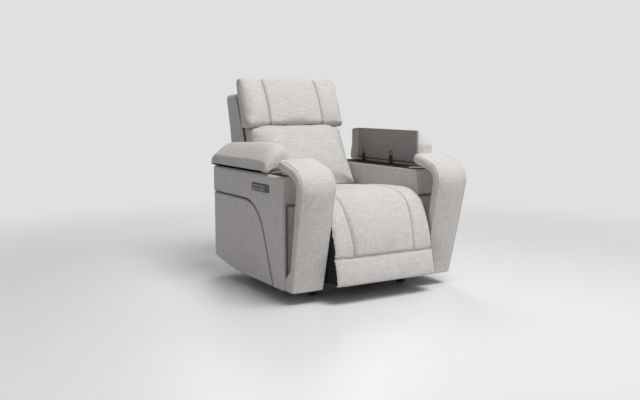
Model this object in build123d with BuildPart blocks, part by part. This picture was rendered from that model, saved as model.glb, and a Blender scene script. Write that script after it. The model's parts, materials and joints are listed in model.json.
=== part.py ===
from build123d import *
import os
from math import cos, radians, sin, tan

os.makedirs("parts", exist_ok=True)

# Power recliner with storage arms. Sizes are in millimetres.
# +X is the sitter's left, +Y runs back, +Z up. The origin is on the floor, midway between the feet.
# Depths are measured back from the arms' front wall, heights up from the floor.

# Arms
FRONT = -380.0
ARM_CLEARANCE = 9.0
ARM_WIDTH = 176.0
ARM_DEPTH = 786.0
ARM_TOP = 590.0
ARM_BOTTOM = 58.0
ARM_REAR_RISE = 42.0
ARM_RISE_START = 400.0
ARM_WALL = 14.0
ARM_DECK = 18.0
ARM_PANEL = 14.0
SEAM_GAP = 3.0
YOKE_SEAM_HEIGHT = 452.0
YOKE_CORNER_DEPTH = 255.0
YOKE_FOOT_DEPTH = 101.0
YOKE_SEAM_RADIUS = 220.0
YOKE_CORNER_RADIUS = 10.0
FRONT_SEAM_HEIGHT = 460.0
FRONT_STRIP = 20.0
FRONT_PANEL_INSET = 3.0

# Padded band that arches up in front of each arm
HOOK_THICK = 45.0
HOOK_FOOT = (-52.0, 58.0)
HOOK_KNEE = (-168.0, 595.0)
HOOK_TIP = (22.0, 648.0)
HOOK_BEND = 70.0
HOOK_EDGE = 12.0
HOOK_HEEL_HEIGHT = 60.0
HOOK_HEEL_SHARE = 0.25

# Storage tub, cup holder and lid of each arm
TUB_WALL = 3.0
TUB_WIDTH = 100.0
TUB_START = 172.0
TUB_END = 735.0
TUB_FLOOR = 400.0
TUB_FLANGE = 8.0
FLANGE_THICK = 2.0
CUP_DEPTH_BACK = 88.0
CUP_BORE = 40.0
CUP_WALL = 2.0
CUP_RIM = 5.0
CUP_RIM_THICK = 5.0
CUP_TALL = 84.0
LID_START = 160.0
LID_BOARD_END = 712.0
LID_REAR_OVERHANG = 74.0
LID_REST_GAP = 3.0
LID_BOARD = 12.0
LID_BEVEL = 10.0
LID_OVERHANG = 7.0
LID_FLARE = 9.0
LID_FLANK = 50.0
LID_CROWN = 108.0
LID_OPEN_ANGLE = 90.0

# Gooseneck lid hinges
HINGE_INSET = 19.0
HINGE_RISE = 32.0
HINGE_DEPTHS = (389.0, 655.0)
HINGE_WIDTH = 24.0
HINGE_STRIP = 3.0
HINGE_BARREL = 7.0
HINGE_PIN = 3.0
HINGE_PIN_PLAY = 0.05
HINGE_LEAF_FOOT = 48.0
HINGE_NECK = 12.0
HINGE_LUG = 4.5
HINGE_PLAY = 0.5
POCKET_ROOM = 6.0

# Control plate on the right arm
PLATE_START = 138.0
PLATE_LENGTH = 180.0
PLATE_BOTTOM = 502.0
PLATE_HEIGHT = 38.0
PLATE_THICK = 6.5
PLATE_PROUD = 2.5
KEY_START = 38.0
KEY_LENGTH = 64.0
KEY_HEIGHT = 11.0
KEY_PITCH = 68.0
KEY_ROW_PITCH = 16.0
KEY_PROUD = 1.5
KEY_DEEP = 4.5
KEY_TRAVEL = 1.2
KEY_PLAY = 0.3

# Base
FOOT_RADIUS = 22.0
FOOT_HEIGHT = 22.0
FOOT_DEPTHS = (80.0, 680.0)
RAIL_WIDTH = 26.0
RAIL_HEIGHT = 38.0
RAIL_START = 40.0
RAIL_END = 730.0
TUBE_RADIUS = 14.0
TUBE_WALL = 2.5
TUBE_DEPTHS = (170.0, 640.0)
SIDE_PLATE = 5.0
PLATE_INSET = 10.0
BOLT_RADIUS = 5.0
BOLT_HEAD = 8.0
BOLT_HEAD_THICK = 5.0
BOLT_PLAY = 0.1
BOLT_PLACES = ((280.0, 300.0), (450.0, 300.0), (280.0, 170.0), (450.0, 170.0))
FIT = 0.2

# Seat
SEAT_HALF = 284.0
SEAT_RAIL_TOP = 385.0
SEAT_RAIL_HEIGHT = 55.0
SEAT_RAIL_WIDTH = 22.0
SEAT_RAIL_START = 0.0
SEAT_RAIL_END = 510.0
WEB_THICK = 2.5
WEB_WIDTH = 60.0
WEB_COUNT = 5
WEB_PITCH = 100.0
SEAT_REAR = 504.0
SEAT_REAR_TOP = 462.0
SEAT_CROWN = (60.0, 503.0)
SEAM_HALF = 185.0
SEAT_SADDLE = 10.0
SEAT_BROW = (-22.0, 487.0)
# Inset from the side of the pad, and how far its surface puffs out there
SEAT_STATIONS = ((0, -16), (36, 0), (SEAT_HALF - SEAM_HALF, -8), (150, 2), (SEAT_HALF, 5))
LOWER_STATIONS = ((0, -8), (40, 0), (SEAT_HALF, 3))
LINING_THICK = 2.0
LINING_DEPTH = 30.0

# Footrest, split from the seat cushion along a slanting plane at the front crown
SPLIT_TOP = (-75.0, 450.0)
SPLIT_FOOT_DEPTH = -18.0
SPLIT_GAP = 0.6
FOOTREST_SEAM_HEIGHT = 216.0
FOOTREST_SEAM_FRONT = -158.0
FOOTREST_BULGE = (-130.0, 350.0)
FOOTREST_TOE = (-188.0, 87.0)
FOOTREST_BOARD = 15.0
FOOTREST_BOARD_HALF = 255.0
TOE_ROUND = 12.0
FOOTREST_BOARD_FOOT = -82.0
LINK_THICK = 5.0
LINK_WIDTH = 26.0
LINK_ANCHOR = (60.0, 262.0)
LINK_ELBOW = (140.0, 122.0)
LINK_TOE = (-18.0, 250.0)
LINK_STUD = 6.0

# Drives
DRIVE_HALF_PITCH = 90.0
DRIVE_RAIL_WIDTH = 30.0
DRIVE_RAIL_HEIGHT = 26.0
DRIVE_RAIL_START = 150.0
DRIVE_RAIL_END = 660.0
MOTOR_LENGTH = 110.0
MOTOR_WIDTH = 70.0
MOTOR_HEIGHT = 62.0
MOTOR_CAN_RADIUS = 26.0
MOTOR_CAN_LENGTH = 60.0
CARRIAGE_LENGTH = 60.0
CARRIAGE_WALL = 8.0
CARRIAGE_PLAY = 0.4
FOOTREST_CARRIAGE_DEPTH = 330.0
RECLINE_CARRIAGE_DEPTH = 250.0

# Back
BACK_HALF = 288.0
BACK_LEAN = 18.2
BACK_PLANE_DEPTH = 777.0
BACK_PLANE_HEIGHT = 715.0
BACK_BOARD = 10.0
BACK_BOARD_BOTTOM = 300.0
BACK_BOARD_TOP = 960.0
SHELL_HALF = 290.0
SHELL_WALL = 12.0
SHELL_TOP = 965.0
SHELL_BOTTOM = 400.0
SHELL_REAR_LOW = (950.0, 697.0)
SHELL_REAR_HIGH = (985.0, 962.0)
SHELL_CORNER = 28.0
SKIRT_BOTTOM = 220.0
SKIRT_HALF = 274.0
CUSHION_FOOT = (511.0, 462.0)
CUSHION_LUMBAR = (584.0, 640.0)
CUSHION_SHOULDER = (676.0, 772.0)
CUSHION_TOP = 789.0
CUSHION_ROUND = 24.0
BACK_STATIONS = ((0, -6), (44, 2), (BACK_HALF, 10))
BRACKET_LOW = 360.0
BRACKET_HIGH = 450.0
RECLINE_PIVOT = (545.0, 420.0)
RECLINE_PIN = 8.0
RECLINE_EAR = 20.0
RECLINE_BRACKET = 6.0
PIN_PLAY = 0.06
PLATE_PLAY = 0.6

# Headrest
HEAD_HALF = 292.0
HEAD_BOTTOM = 804.0
HEAD_FRONT_LOW = 690.0
HEAD_FRONT_HIGH = 787.0
HEAD_TOP = 1062.0
HEAD_TOP_BACK = 856.0
HEAD_SEAM_HALF = 167.0
HEAD_CORNER = 22.0
HEAD_BULGE = 14.0
HEAD_STATIONS = ((0, -10), (40, 0), (HEAD_HALF - HEAD_SEAM_HALF, -7), (175, 1), (HEAD_HALF, 4))
HEAD_PLATE = 3.0
HEAD_PLATE_GAP = 1.5
HEAD_PLATE_HALF = 150.0
HEAD_PLATE_DROP = 112.0
HEAD_PIVOT = (702.0, 796.5)
HEAD_PIN = 3.0
HEAD_KNUCKLE = 5.5
HEAD_LUG_STARTS = (70.0, 84.5)
HEAD_LUG = 14.0
HEAD_ROD = 8.0
HEAD_ROD_DROP = 157.0
HEAD_ROD_LENGTH = 80.0
HEAD_MOTOR_LENGTH = 60.0
HEAD_MOTOR_WIDTH = 60.0

# Power inlet on the back of the right arm
INLET_ABOVE_BOTTOM = 110.0
INLET_SIZE = (30.0, 22.0)
INLET_DEEP = 12.0
INLET_MOUTH = (16.0, 10.0)
INLET_MOUTH_DEEP = 9.0

# Places that follow from the sizes above
SIDE_PLATE_INNER = SHELL_HALF - PLATE_INSET
PLATE_OUT = SIDE_PLATE_INNER + SIDE_PLATE
ARM_IN = PLATE_OUT + ARM_CLEARANCE
ARM_OUT = ARM_IN + ARM_WIDTH
FRAME_OUT = ARM_OUT - ARM_PANEL
ARM_MIDDLE = (ARM_IN + FRAME_OUT) / 2
TUB_OUT = ARM_MIDDLE + TUB_WIDTH / 2
TUB_IN = ARM_MIDDLE - TUB_WIDTH / 2
LID_UNDER = ARM_TOP + LID_REST_GAP
HINGE_X = ARM_OUT - HINGE_INSET
HINGE_Z = ARM_TOP + HINGE_RISE
RAIL_TOP = FOOT_HEIGHT + RAIL_HEIGHT
TUBE_HEIGHT = RAIL_TOP + TUBE_RADIUS
RAIL_OUT = SIDE_PLATE_INNER
RAIL_IN = RAIL_OUT - RAIL_WIDTH
SEAT_RAIL_BOTTOM = SEAT_RAIL_TOP - SEAT_RAIL_HEIGHT
WEB_TOP = SEAT_RAIL_TOP + WEB_THICK
DRIVE_BASE = TUBE_HEIGHT + TUBE_RADIUS + FIT
BACK_SLOPE = tan(radians(BACK_LEAN))
BACK_BOARD_HALF = SIDE_PLATE_INNER - PLATE_PLAY - RECLINE_BRACKET
HEAD_PLATE_TOP = HEAD_TOP - HEAD_PLATE_DROP
HEAD_ROD_HEIGHT = HEAD_TOP - HEAD_ROD_DROP
SIDES = (("right", -1), ("left", 1))


def side_plane(x):
    """The plane across the chair at x, drawn in depth and height."""
    return Plane(origin=(x, FRONT, 0), x_dir=(0, 1, 0), z_dir=(1, 0, 0))


def block(across, depth, height, mode=Mode.ADD):
    """A box between pairs of limits across, back and up, added to the part being built."""
    limits = [sorted(across), sorted(depth), sorted(height)]
    centre = [(low + high) / 2 for low, high in limits]
    with Locations((centre[0], FRONT + centre[1], centre[2])):
        Box(*[high - low for low, high in limits], mode=mode)


def rod(radius, across, depth, height, mode=Mode.ADD):
    """A round bar that runs across the chair between two limits."""
    low, high = sorted(across)
    with Locations((low, FRONT + depth, height)):
        along = (Align.CENTER, Align.CENTER, Align.MIN)
        Cylinder(radius, high - low, rotation=(0, 90, 0), align=along, mode=mode)


def save(part, label):
    """Name a finished piece and write it."""
    part.label = label
    export_step(part, f"parts/{label}.step")


def back_line(height, forward=0.0):
    """Depth of the back's leaning plane at a height, or of a plane the given distance in front of it."""
    upright = BACK_PLANE_DEPTH + (height - BACK_PLANE_HEIGHT) * BACK_SLOPE
    return upright - forward / cos(radians(BACK_LEAN))


# Base: feet, rails, cross tubes, side plates and arm bolts
with BuildPart() as feet:
    under_rail = (RAIL_IN + RAIL_OUT) / 2
    with Locations([(sign * under_rail, FRONT + depth, 0) for _, sign in SIDES for depth in FOOT_DEPTHS]):
        Cylinder(FOOT_RADIUS, FOOT_HEIGHT, align=(Align.CENTER, Align.CENTER, Align.MIN))
    chamfer(feet.edges().filter_by(GeomType.CIRCLE).group_by(Axis.Z)[0], FOOT_HEIGHT / 8)
save(feet.part, "feet")

with BuildPart() as base_rails:
    for _, sign in SIDES:
        block((sign * RAIL_IN, sign * RAIL_OUT), (RAIL_START, RAIL_END), (FOOT_HEIGHT, RAIL_TOP))
    fillet(base_rails.edges().filter_by(Axis.Y), RAIL_WIDTH / 8)
save(base_rails.part, "base_rails")

with BuildPart() as cross_tubes:
    for depth in TUBE_DEPTHS:
        rod(TUBE_RADIUS, (-ARM_IN, ARM_IN), depth, TUBE_HEIGHT)
        rod(TUBE_RADIUS - TUBE_WALL, (-ARM_IN, ARM_IN), depth, TUBE_HEIGHT, mode=Mode.SUBTRACT)
save(cross_tubes.part, "cross_tubes")

for name, sign in SIDES:
    with BuildPart() as side_plate:
        with BuildSketch(side_plane(sign * SIDE_PLATE_INNER)):
            with BuildLine():
                Polyline(
                    (RAIL_START, FOOT_HEIGHT + FOOT_HEIGHT / 2),
                    (RAIL_END, FOOT_HEIGHT + FOOT_HEIGHT / 2),
                    (RAIL_END, RAIL_TOP + 2 * TUBE_RADIUS),
                    (RECLINE_PIVOT[0] + 2 * RECLINE_EAR, SEAT_RAIL_BOTTOM / 2),
                    (RECLINE_PIVOT[0] + RECLINE_EAR, RECLINE_PIVOT[1]),
                    (RECLINE_PIVOT[0] - RECLINE_EAR, RECLINE_PIVOT[1]),
                    (SEAT_RAIL_END, SEAT_RAIL_TOP),
                    (RAIL_START, SEAT_RAIL_TOP),
                    close=True,
                )
            make_face()
            with Locations(RECLINE_PIVOT):
                Circle(RECLINE_EAR)
        extrude(amount=sign * SIDE_PLATE)
        span = (sign * (SIDE_PLATE_INNER - FIT), sign * (PLATE_OUT + FIT))
        for depth in TUBE_DEPTHS:
            rod(TUBE_RADIUS + FIT, span, depth, TUBE_HEIGHT, mode=Mode.SUBTRACT)
        for depth, height in BOLT_PLACES:
            rod(BOLT_RADIUS + BOLT_PLAY, span, depth, height, mode=Mode.SUBTRACT)
        rod(LINK_STUD + PIN_PLAY, span, *LINK_ANCHOR, mode=Mode.SUBTRACT)
        rod(RECLINE_PIN + PIN_PLAY, span, *RECLINE_PIVOT, mode=Mode.SUBTRACT)
    save(side_plate.part, f"{name}_side_plate")

with BuildPart() as arm_bolts:
    for _, sign in SIDES:
        for depth, height in BOLT_PLACES:
            shank_end = ARM_IN + ARM_WALL - BOLT_PLAY
            head_end = SIDE_PLATE_INNER - BOLT_HEAD_THICK
            rod(BOLT_RADIUS, (sign * SIDE_PLATE_INNER, sign * shank_end), depth, height)
            rod(BOLT_HEAD, (sign * SIDE_PLATE_INNER, sign * head_end), depth, height)
            rod(BOLT_HEAD, (sign * PLATE_OUT, sign * ARM_IN), depth, height)
save(arm_bolts.part, "arm_bolts")


def arm_outline(start):
    """Side outline of an arm from a starting depth, with its lower edge rising at the back."""
    rear_bottom = ARM_BOTTOM + ARM_REAR_RISE
    Polyline((ARM_DEPTH, rear_bottom), (ARM_DEPTH, ARM_TOP), (start, ARM_TOP), (start, ARM_BOTTOM),
             (ARM_RISE_START, ARM_BOTTOM))
    TangentArc((ARM_RISE_START, ARM_BOTTOM), (ARM_DEPTH, rear_bottom), tangent=(1, 0))


def yoke_seam(shift):
    """The curved seam between the upper and lower side panels, moved up and forward by a shift."""
    FilletPolyline(
        (ARM_DEPTH, YOKE_SEAM_HEIGHT + shift),
        (YOKE_CORNER_DEPTH - shift, YOKE_SEAM_HEIGHT + shift),
        (YOKE_FOOT_DEPTH - shift, ARM_BOTTOM),
        radius=YOKE_SEAM_RADIUS,
    )


# Arms: hollow frame with its deck, side panels, front panel and hook band
for name, sign in SIDES:
    with BuildPart() as arm_frame:
        with BuildSketch(side_plane(sign * ARM_IN)):
            with BuildLine():
                arm_outline(ARM_PANEL)
            make_face()
        extrude(amount=sign * (FRAME_OUT - ARM_IN))
        block(
            (sign * (ARM_IN + ARM_WALL), sign * (FRAME_OUT - ARM_WALL)),
            (ARM_PANEL + ARM_WALL, ARM_DEPTH - ARM_WALL),
            (0, ARM_TOP - ARM_DECK),
            mode=Mode.SUBTRACT,
        )
        block(
            (sign * (TUB_IN - FIT), sign * (TUB_OUT + FIT)),
            (TUB_START - FIT, TUB_END + FIT),
            (TUB_FLOOR, ARM_TOP),
            mode=Mode.SUBTRACT,
        )
        with Locations((sign * ARM_MIDDLE, FRONT + CUP_DEPTH_BACK, ARM_TOP)):
            Cylinder(CUP_BORE + CUP_WALL + FIT, 2 * ARM_DECK, mode=Mode.SUBTRACT)
        for depth, height in BOLT_PLACES:
            through_wall = (sign * ARM_IN, sign * (ARM_IN + ARM_WALL))
            rod(BOLT_RADIUS + BOLT_PLAY, through_wall, depth, height, mode=Mode.SUBTRACT)
    save(arm_frame.part, f"{name}_arm_frame")

    with BuildPart() as side_yoke:
        with BuildSketch(side_plane(sign * FRAME_OUT)):
            with BuildLine():
                yoke_seam(SEAM_GAP / 2)
                Polyline(
                    (YOKE_FOOT_DEPTH - SEAM_GAP / 2, ARM_BOTTOM),
                    (0, ARM_BOTTOM),
                    (0, ARM_TOP),
                    (ARM_DEPTH, ARM_TOP),
                    (ARM_DEPTH, YOKE_SEAM_HEIGHT + SEAM_GAP / 2),
                )
            make_face()
        extrude(amount=sign * ARM_PANEL)
        block((sign * ARM_IN, sign * FRAME_OUT), (0, ARM_PANEL), (FRONT_SEAM_HEIGHT, ARM_TOP))
        strip = (sign * (ARM_OUT - FRONT_STRIP), sign * FRAME_OUT)
        block(strip, (0, ARM_PANEL), (ARM_BOTTOM, FRONT_SEAM_HEIGHT))
        outer_edges = side_yoke.faces().sort_by(Axis.X)[-1 if sign > 0 else 0].edges()
        fillet(outer_edges.sort_by(Axis.Y)[0], YOKE_CORNER_RADIUS)
        outer_edges = side_yoke.faces().sort_by(Axis.X)[-1 if sign > 0 else 0].edges()
        fillet(outer_edges.sort_by(Axis.Z)[-1], YOKE_CORNER_RADIUS)
        if name == "right":
            block(
                (sign * (ARM_OUT + PLATE_PROUD - PLATE_THICK - KEY_DEEP), sign * (ARM_OUT + PLATE_PROUD)),
                (PLATE_START, PLATE_START + PLATE_LENGTH),
                (PLATE_BOTTOM, PLATE_BOTTOM + PLATE_HEIGHT),
                mode=Mode.SUBTRACT,
            )
    save(side_yoke.part, f"{name}_side_yoke")

    with BuildPart() as side_panel:
        with BuildSketch(side_plane(sign * FRAME_OUT)):
            with BuildLine():
                yoke_seam(-SEAM_GAP / 2)
                Line((YOKE_FOOT_DEPTH + SEAM_GAP / 2, ARM_BOTTOM), (ARM_RISE_START, ARM_BOTTOM))
                rear_foot = (ARM_DEPTH, ARM_BOTTOM + ARM_REAR_RISE)
                TangentArc((ARM_RISE_START, ARM_BOTTOM), rear_foot, tangent=(1, 0))
                Line((ARM_DEPTH, ARM_BOTTOM + ARM_REAR_RISE), (ARM_DEPTH, YOKE_SEAM_HEIGHT - SEAM_GAP / 2))
            make_face()
        extrude(amount=sign * ARM_PANEL)
        outer_face = side_panel.faces().sort_by(Axis.X)[-1 if sign > 0 else 0]
        fillet(outer_face.edges(), ARM_PANEL / 2)
    save(side_panel.part, f"{name}_side_panel")

    with BuildPart() as front_panel:
        block(
            (sign * ARM_IN, sign * (ARM_OUT - FRONT_STRIP - SEAM_GAP)),
            (FRONT_PANEL_INSET, ARM_PANEL),
            (ARM_BOTTOM, FRONT_SEAM_HEIGHT - SEAM_GAP),
        )
        fillet(front_panel.faces().sort_by(Axis.Y)[0].edges(), FRONT_PANEL_INSET)
    save(front_panel.part, f"{name}_front_panel")

    heel_tip = tuple(foot + (knee - foot) * HOOK_HEEL_SHARE for foot, knee in zip(HOOK_FOOT, HOOK_KNEE))
    with BuildPart() as hook_band:
        with BuildSketch(side_plane(sign * ARM_IN)):
            with BuildLine() as hook_line:
                FilletPolyline(HOOK_FOOT, HOOK_KNEE, HOOK_TIP, radius=HOOK_BEND)
            trace(hook_line.line, line_width=HOOK_THICK)
            with BuildLine():
                Polyline(
                    HOOK_FOOT,
                    (0, ARM_BOTTOM),
                    (0, ARM_BOTTOM + HOOK_HEEL_HEIGHT),
                    heel_tip,
                    close=True,
                )
            make_face()
        extrude(amount=sign * ARM_WIDTH)
        below_foot = (-2 * HOOK_THICK, HOOK_THICK)
        block((sign * ARM_IN, sign * ARM_OUT), below_foot, (0, ARM_BOTTOM), mode=Mode.SUBTRACT)
        tip_face = hook_band.faces().sort_by(Axis.Y)[-1]
        fillet(tip_face.edges().filter_by(Axis.X), HOOK_EDGE)
        side_faces = hook_band.faces().filter_by(Axis.X)
        heel_top = ARM_BOTTOM + HOOK_HEEL_HEIGHT
        fillet([edge for edge in side_faces.edges() if edge.center().Z > heel_top], HOOK_EDGE)
    save(hook_band.part, f"{name}_hook_band")

    with BuildPart() as storage_tub:
        block((sign * TUB_IN, sign * TUB_OUT), (TUB_START, TUB_END), (TUB_FLOOR, ARM_TOP))
        block(
            (sign * (TUB_IN - TUB_FLANGE), sign * (TUB_OUT + TUB_FLANGE)),
            (TUB_START - TUB_FLANGE, TUB_END + TUB_FLANGE),
            (ARM_TOP, ARM_TOP + FLANGE_THICK),
        )
        block(
            (sign * (TUB_IN + TUB_WALL), sign * (TUB_OUT - TUB_WALL)),
            (TUB_START + TUB_WALL, TUB_END - TUB_WALL),
            (TUB_FLOOR + TUB_WALL, ARM_TOP + FLANGE_THICK),
            mode=Mode.SUBTRACT,
        )
    save(storage_tub.part, f"{name}_storage_tub")

    with BuildPart() as cup_holder:
        with BuildSketch(Plane(origin=(sign * ARM_MIDDLE, FRONT + CUP_DEPTH_BACK, ARM_TOP))):
            Circle(CUP_BORE + CUP_WALL + CUP_RIM)
        extrude(amount=CUP_RIM_THICK)
        fillet(cup_holder.edges().group_by(Axis.Z)[-1], CUP_RIM_THICK / 2)
        with BuildSketch(Plane(origin=(sign * ARM_MIDDLE, FRONT + CUP_DEPTH_BACK, ARM_TOP))):
            Circle(CUP_BORE + CUP_WALL)
        extrude(amount=CUP_RIM_THICK - CUP_TALL - CUP_WALL)
        rim_top = ARM_TOP + CUP_RIM_THICK
        with BuildSketch(Plane(origin=(sign * ARM_MIDDLE, FRONT + CUP_DEPTH_BACK, rim_top))):
            Circle(CUP_BORE)
        extrude(amount=-CUP_TALL, mode=Mode.SUBTRACT)
    save(cup_holder.part, f"{name}_cup_holder")


def lid_plane(sign, angle, depth):
    """A plane across a lid at a depth: from the hinge line, x runs inboard and y up when it is closed."""
    turn = radians(angle)
    return Plane(
        origin=(sign * HINGE_X, FRONT + depth, HINGE_Z),
        x_dir=(-sign * cos(turn), 0, sin(turn)),
        z_dir=(0, sign, 0),
    )


# Lids: board, crowned pad and gooseneck hinges; the right lid is shut and the left lid stands open
LID_LOW = LID_UNDER - HINGE_Z
LID_SEAT = LID_LOW + LID_BOARD
LID_OUTER = -HINGE_INSET
LID_INNER = ARM_WIDTH - HINGE_INSET
LEAF_AT = HINGE_X - (TUB_OUT - TUB_WALL - FIT - HINGE_STRIP / 2)
POCKET_HALF = HINGE_WIDTH / 2 + HINGE_PLAY + HINGE_LUG
POCKET_OUTER = -HINGE_BARREL - HINGE_STRIP
POCKET_INNER = LEAF_AT + HINGE_STRIP + POCKET_ROOM
POCKET_TOP = HINGE_NECK + HINGE_STRIP + POCKET_ROOM
# Share of the way along the pad, share of its crown there, and how far its sides draw in
LID_STATIONS = (
    (0.0, 0.4, 9),
    (0.04, 0.64, 4),
    (0.13, 0.86, 1),
    (0.5, 0.97, 0),
    (0.82, 1.0, 0),
    (0.95, 0.78, 3),
    (1.0, 0.45, 9),
)


def cut_hinge_pockets(sign, angle):
    """Open the underside of a lid around its two hinges."""
    for depth in HINGE_DEPTHS:
        with BuildSketch(lid_plane(sign, angle, depth - POCKET_HALF)) as pocket:
            with BuildLine():
                Polyline(
                    (POCKET_OUTER, LID_LOW),
                    (POCKET_INNER, LID_LOW),
                    (POCKET_INNER, POCKET_TOP),
                    (POCKET_OUTER, POCKET_TOP),
                    close=True,
                )
            make_face()
        extrude(pocket.sketch, amount=sign * 2 * POCKET_HALF, mode=Mode.SUBTRACT)


for name, sign in SIDES:
    angle = LID_OPEN_ANGLE if name == "left" else 0.0

    with BuildPart() as lid_board:
        with BuildSketch(lid_plane(sign, angle, LID_START)):
            with BuildLine():
                Polyline(
                    (LID_OUTER + LID_BEVEL, LID_LOW),
                    (LID_INNER, LID_LOW),
                    (LID_INNER, LID_SEAT),
                    (LID_OUTER, LID_SEAT),
                    close=True,
                )
            make_face()
        extrude(amount=sign * (LID_BOARD_END - LID_START))
        cut_hinge_pockets(sign, angle)
    save(lid_board.part, f"{name}_lid_board")

    with BuildPart() as lid_pad:
        for along, share, draw in LID_STATIONS:
            depth = LID_START + along * (LID_BOARD_END + LID_REAR_OVERHANG - LID_START)
            outer = LID_OUTER - LID_OVERHANG + draw
            inner = LID_INNER - draw
            flank = LID_SEAT + LID_FLANK * share
            with BuildSketch(lid_plane(sign, angle, depth)):
                with BuildLine():
                    flared = outer - LID_FLARE
                    Polyline((flared, flank), (outer, LID_SEAT), (inner, LID_SEAT), (inner, flank))
                    crown = ((flared + inner) / 2, LID_SEAT + LID_CROWN * share)
                    ThreePointArc((inner, flank), crown, (flared, flank))
                make_face()
        loft()
        cut_hinge_pockets(sign, angle)
    save(lid_pad.part, f"{name}_lid_pad")

    with BuildPart() as hinge_leaves:
        for depth in HINGE_DEPTHS:
            with BuildSketch(lid_plane(sign, 0.0, depth - HINGE_WIDTH / 2)) as leaf:
                with BuildLine() as neck:
                    FilletPolyline(
                        (LEAF_AT, ARM_TOP - HINGE_LEAF_FOOT - HINGE_Z),
                        (LEAF_AT, HINGE_NECK),
                        (0, HINGE_NECK),
                        (0, 0),
                        radius=1.5 * HINGE_STRIP,
                    )
                trace(neck.line, line_width=HINGE_STRIP)
                Circle(HINGE_BARREL)
                Circle(HINGE_PIN + HINGE_PIN_PLAY, mode=Mode.SUBTRACT)
            extrude(leaf.sketch, amount=sign * HINGE_WIDTH)
    save(hinge_leaves.part, f"{name}_lid_hinge_leaves")

    with BuildPart() as hinge_lugs:
        for depth in HINGE_DEPTHS:
            for start in (depth - POCKET_HALF, depth + POCKET_HALF - HINGE_LUG):
                with BuildSketch(lid_plane(sign, angle, start)) as lug:
                    Circle(HINGE_BARREL)
                    with Locations((0, LID_LOW / 2)):
                        Rectangle(2 * HINGE_BARREL, -LID_LOW)
                    Circle(HINGE_PIN, mode=Mode.SUBTRACT)
                extrude(lug.sketch, amount=sign * HINGE_LUG)
    save(hinge_lugs.part, f"{name}_lid_hinge_lugs")

    with BuildPart() as hinge_pins:
        for depth in HINGE_DEPTHS:
            with BuildSketch(lid_plane(sign, angle, depth - POCKET_HALF)) as pin:
                Circle(HINGE_PIN)
            extrude(pin.sketch, amount=sign * 2 * POCKET_HALF)
    save(hinge_pins.part, f"{name}_lid_hinge_pins")

# Control plate and its four keys on the right arm
PLATE_FACE = ARM_OUT + PLATE_PROUD
POCKET_FLOOR = PLATE_FACE - PLATE_THICK - KEY_DEEP
KEY_NAMES = (("recline_key", "return_key"), ("headrest_up_key", "headrest_down_key"))
key_places = []
for row, names in enumerate(KEY_NAMES):
    for column, key_name in enumerate(names):
        key_depth = PLATE_START + KEY_START + column * KEY_PITCH
        key_height = PLATE_BOTTOM + PLATE_HEIGHT / 2 + (0.5 - row) * KEY_ROW_PITCH - KEY_HEIGHT / 2
        key_places.append((key_name, key_depth, key_height))

with BuildPart() as control_plate:
    block(
        (-PLATE_FACE, -PLATE_FACE + PLATE_THICK),
        (PLATE_START, PLATE_START + PLATE_LENGTH),
        (PLATE_BOTTOM, PLATE_BOTTOM + PLATE_HEIGHT),
    )
    fillet(control_plate.faces().sort_by(Axis.X)[0].edges(), PLATE_PROUD / 2)
    for _, depth, height in key_places:
        block(
            (-PLATE_FACE, -PLATE_FACE + PLATE_THICK),
            (depth - KEY_PLAY, depth + KEY_LENGTH + KEY_PLAY),
            (height - KEY_PLAY, height + KEY_HEIGHT + KEY_PLAY),
            mode=Mode.SUBTRACT,
        )
save(control_plate.part, "control_plate")

for key_name, depth, height in key_places:
    with BuildPart() as key:
        block(
            (-PLATE_FACE - KEY_PROUD, -POCKET_FLOOR - KEY_TRAVEL - KEY_PLAY),
            (depth, depth + KEY_LENGTH),
            (height, height + KEY_HEIGHT),
        )
        fillet(key.faces().sort_by(Axis.X)[0].edges(), KEY_PROUD / 2)
    save(key.part, key_name)

# Power inlet on the back of the right arm
with BuildPart() as power_inlet:
    inlet_height = ARM_BOTTOM + INLET_ABOVE_BOTTOM
    block(
        (-ARM_MIDDLE - INLET_SIZE[0] / 2, -ARM_MIDDLE + INLET_SIZE[0] / 2),
        (ARM_DEPTH, ARM_DEPTH + INLET_DEEP),
        (inlet_height - INLET_SIZE[1] / 2, inlet_height + INLET_SIZE[1] / 2),
    )
    block(
        (-ARM_MIDDLE - INLET_MOUTH[0] / 2, -ARM_MIDDLE + INLET_MOUTH[0] / 2),
        (ARM_DEPTH + INLET_DEEP - INLET_MOUTH_DEEP, ARM_DEPTH + INLET_DEEP),
        (inlet_height - INLET_MOUTH[1] / 2, inlet_height + INLET_MOUTH[1] / 2),
        mode=Mode.SUBTRACT,
    )
save(power_inlet.part, "power_inlet")

# Seat: rails, webbing, crowned cushion with two channels, and the black lining behind the footrest
SEAT_RAIL_IN = SIDE_PLATE_INNER - SEAT_RAIL_WIDTH
with BuildPart() as seat_rails:
    for _, sign in SIDES:
        block(
            (sign * SEAT_RAIL_IN, sign * SIDE_PLATE_INNER),
            (SEAT_RAIL_START, SEAT_RAIL_END),
            (SEAT_RAIL_BOTTOM, SEAT_RAIL_TOP),
        )
    for start in (SEAT_RAIL_START, SEAT_RAIL_END - SEAT_RAIL_WIDTH):
        rail_depth = (start, start + SEAT_RAIL_WIDTH)
        block((-SEAT_RAIL_IN, SEAT_RAIL_IN), rail_depth, (SEAT_RAIL_BOTTOM, SEAT_RAIL_TOP))
save(seat_rails.part, "seat_rails")

with BuildPart() as seat_webbing:
    for index in range(WEB_COUNT):
        middle = (index - (WEB_COUNT - 1) / 2) * WEB_PITCH
        block(
            (middle - WEB_WIDTH / 2, middle + WEB_WIDTH / 2),
            (SEAT_RAIL_START, SEAT_REAR),
            (SEAT_RAIL_TOP, WEB_TOP),
        )
save(seat_webbing.part, "seat_webbing")

with BuildPart() as front_lining:
    lining_depth = (LINING_DEPTH, LINING_DEPTH + LINING_THICK)
    block((-SEAT_RAIL_IN, SEAT_RAIL_IN), lining_depth, (RAIL_TOP, SEAT_RAIL_BOTTOM))
save(front_lining.part, "front_lining")


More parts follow.
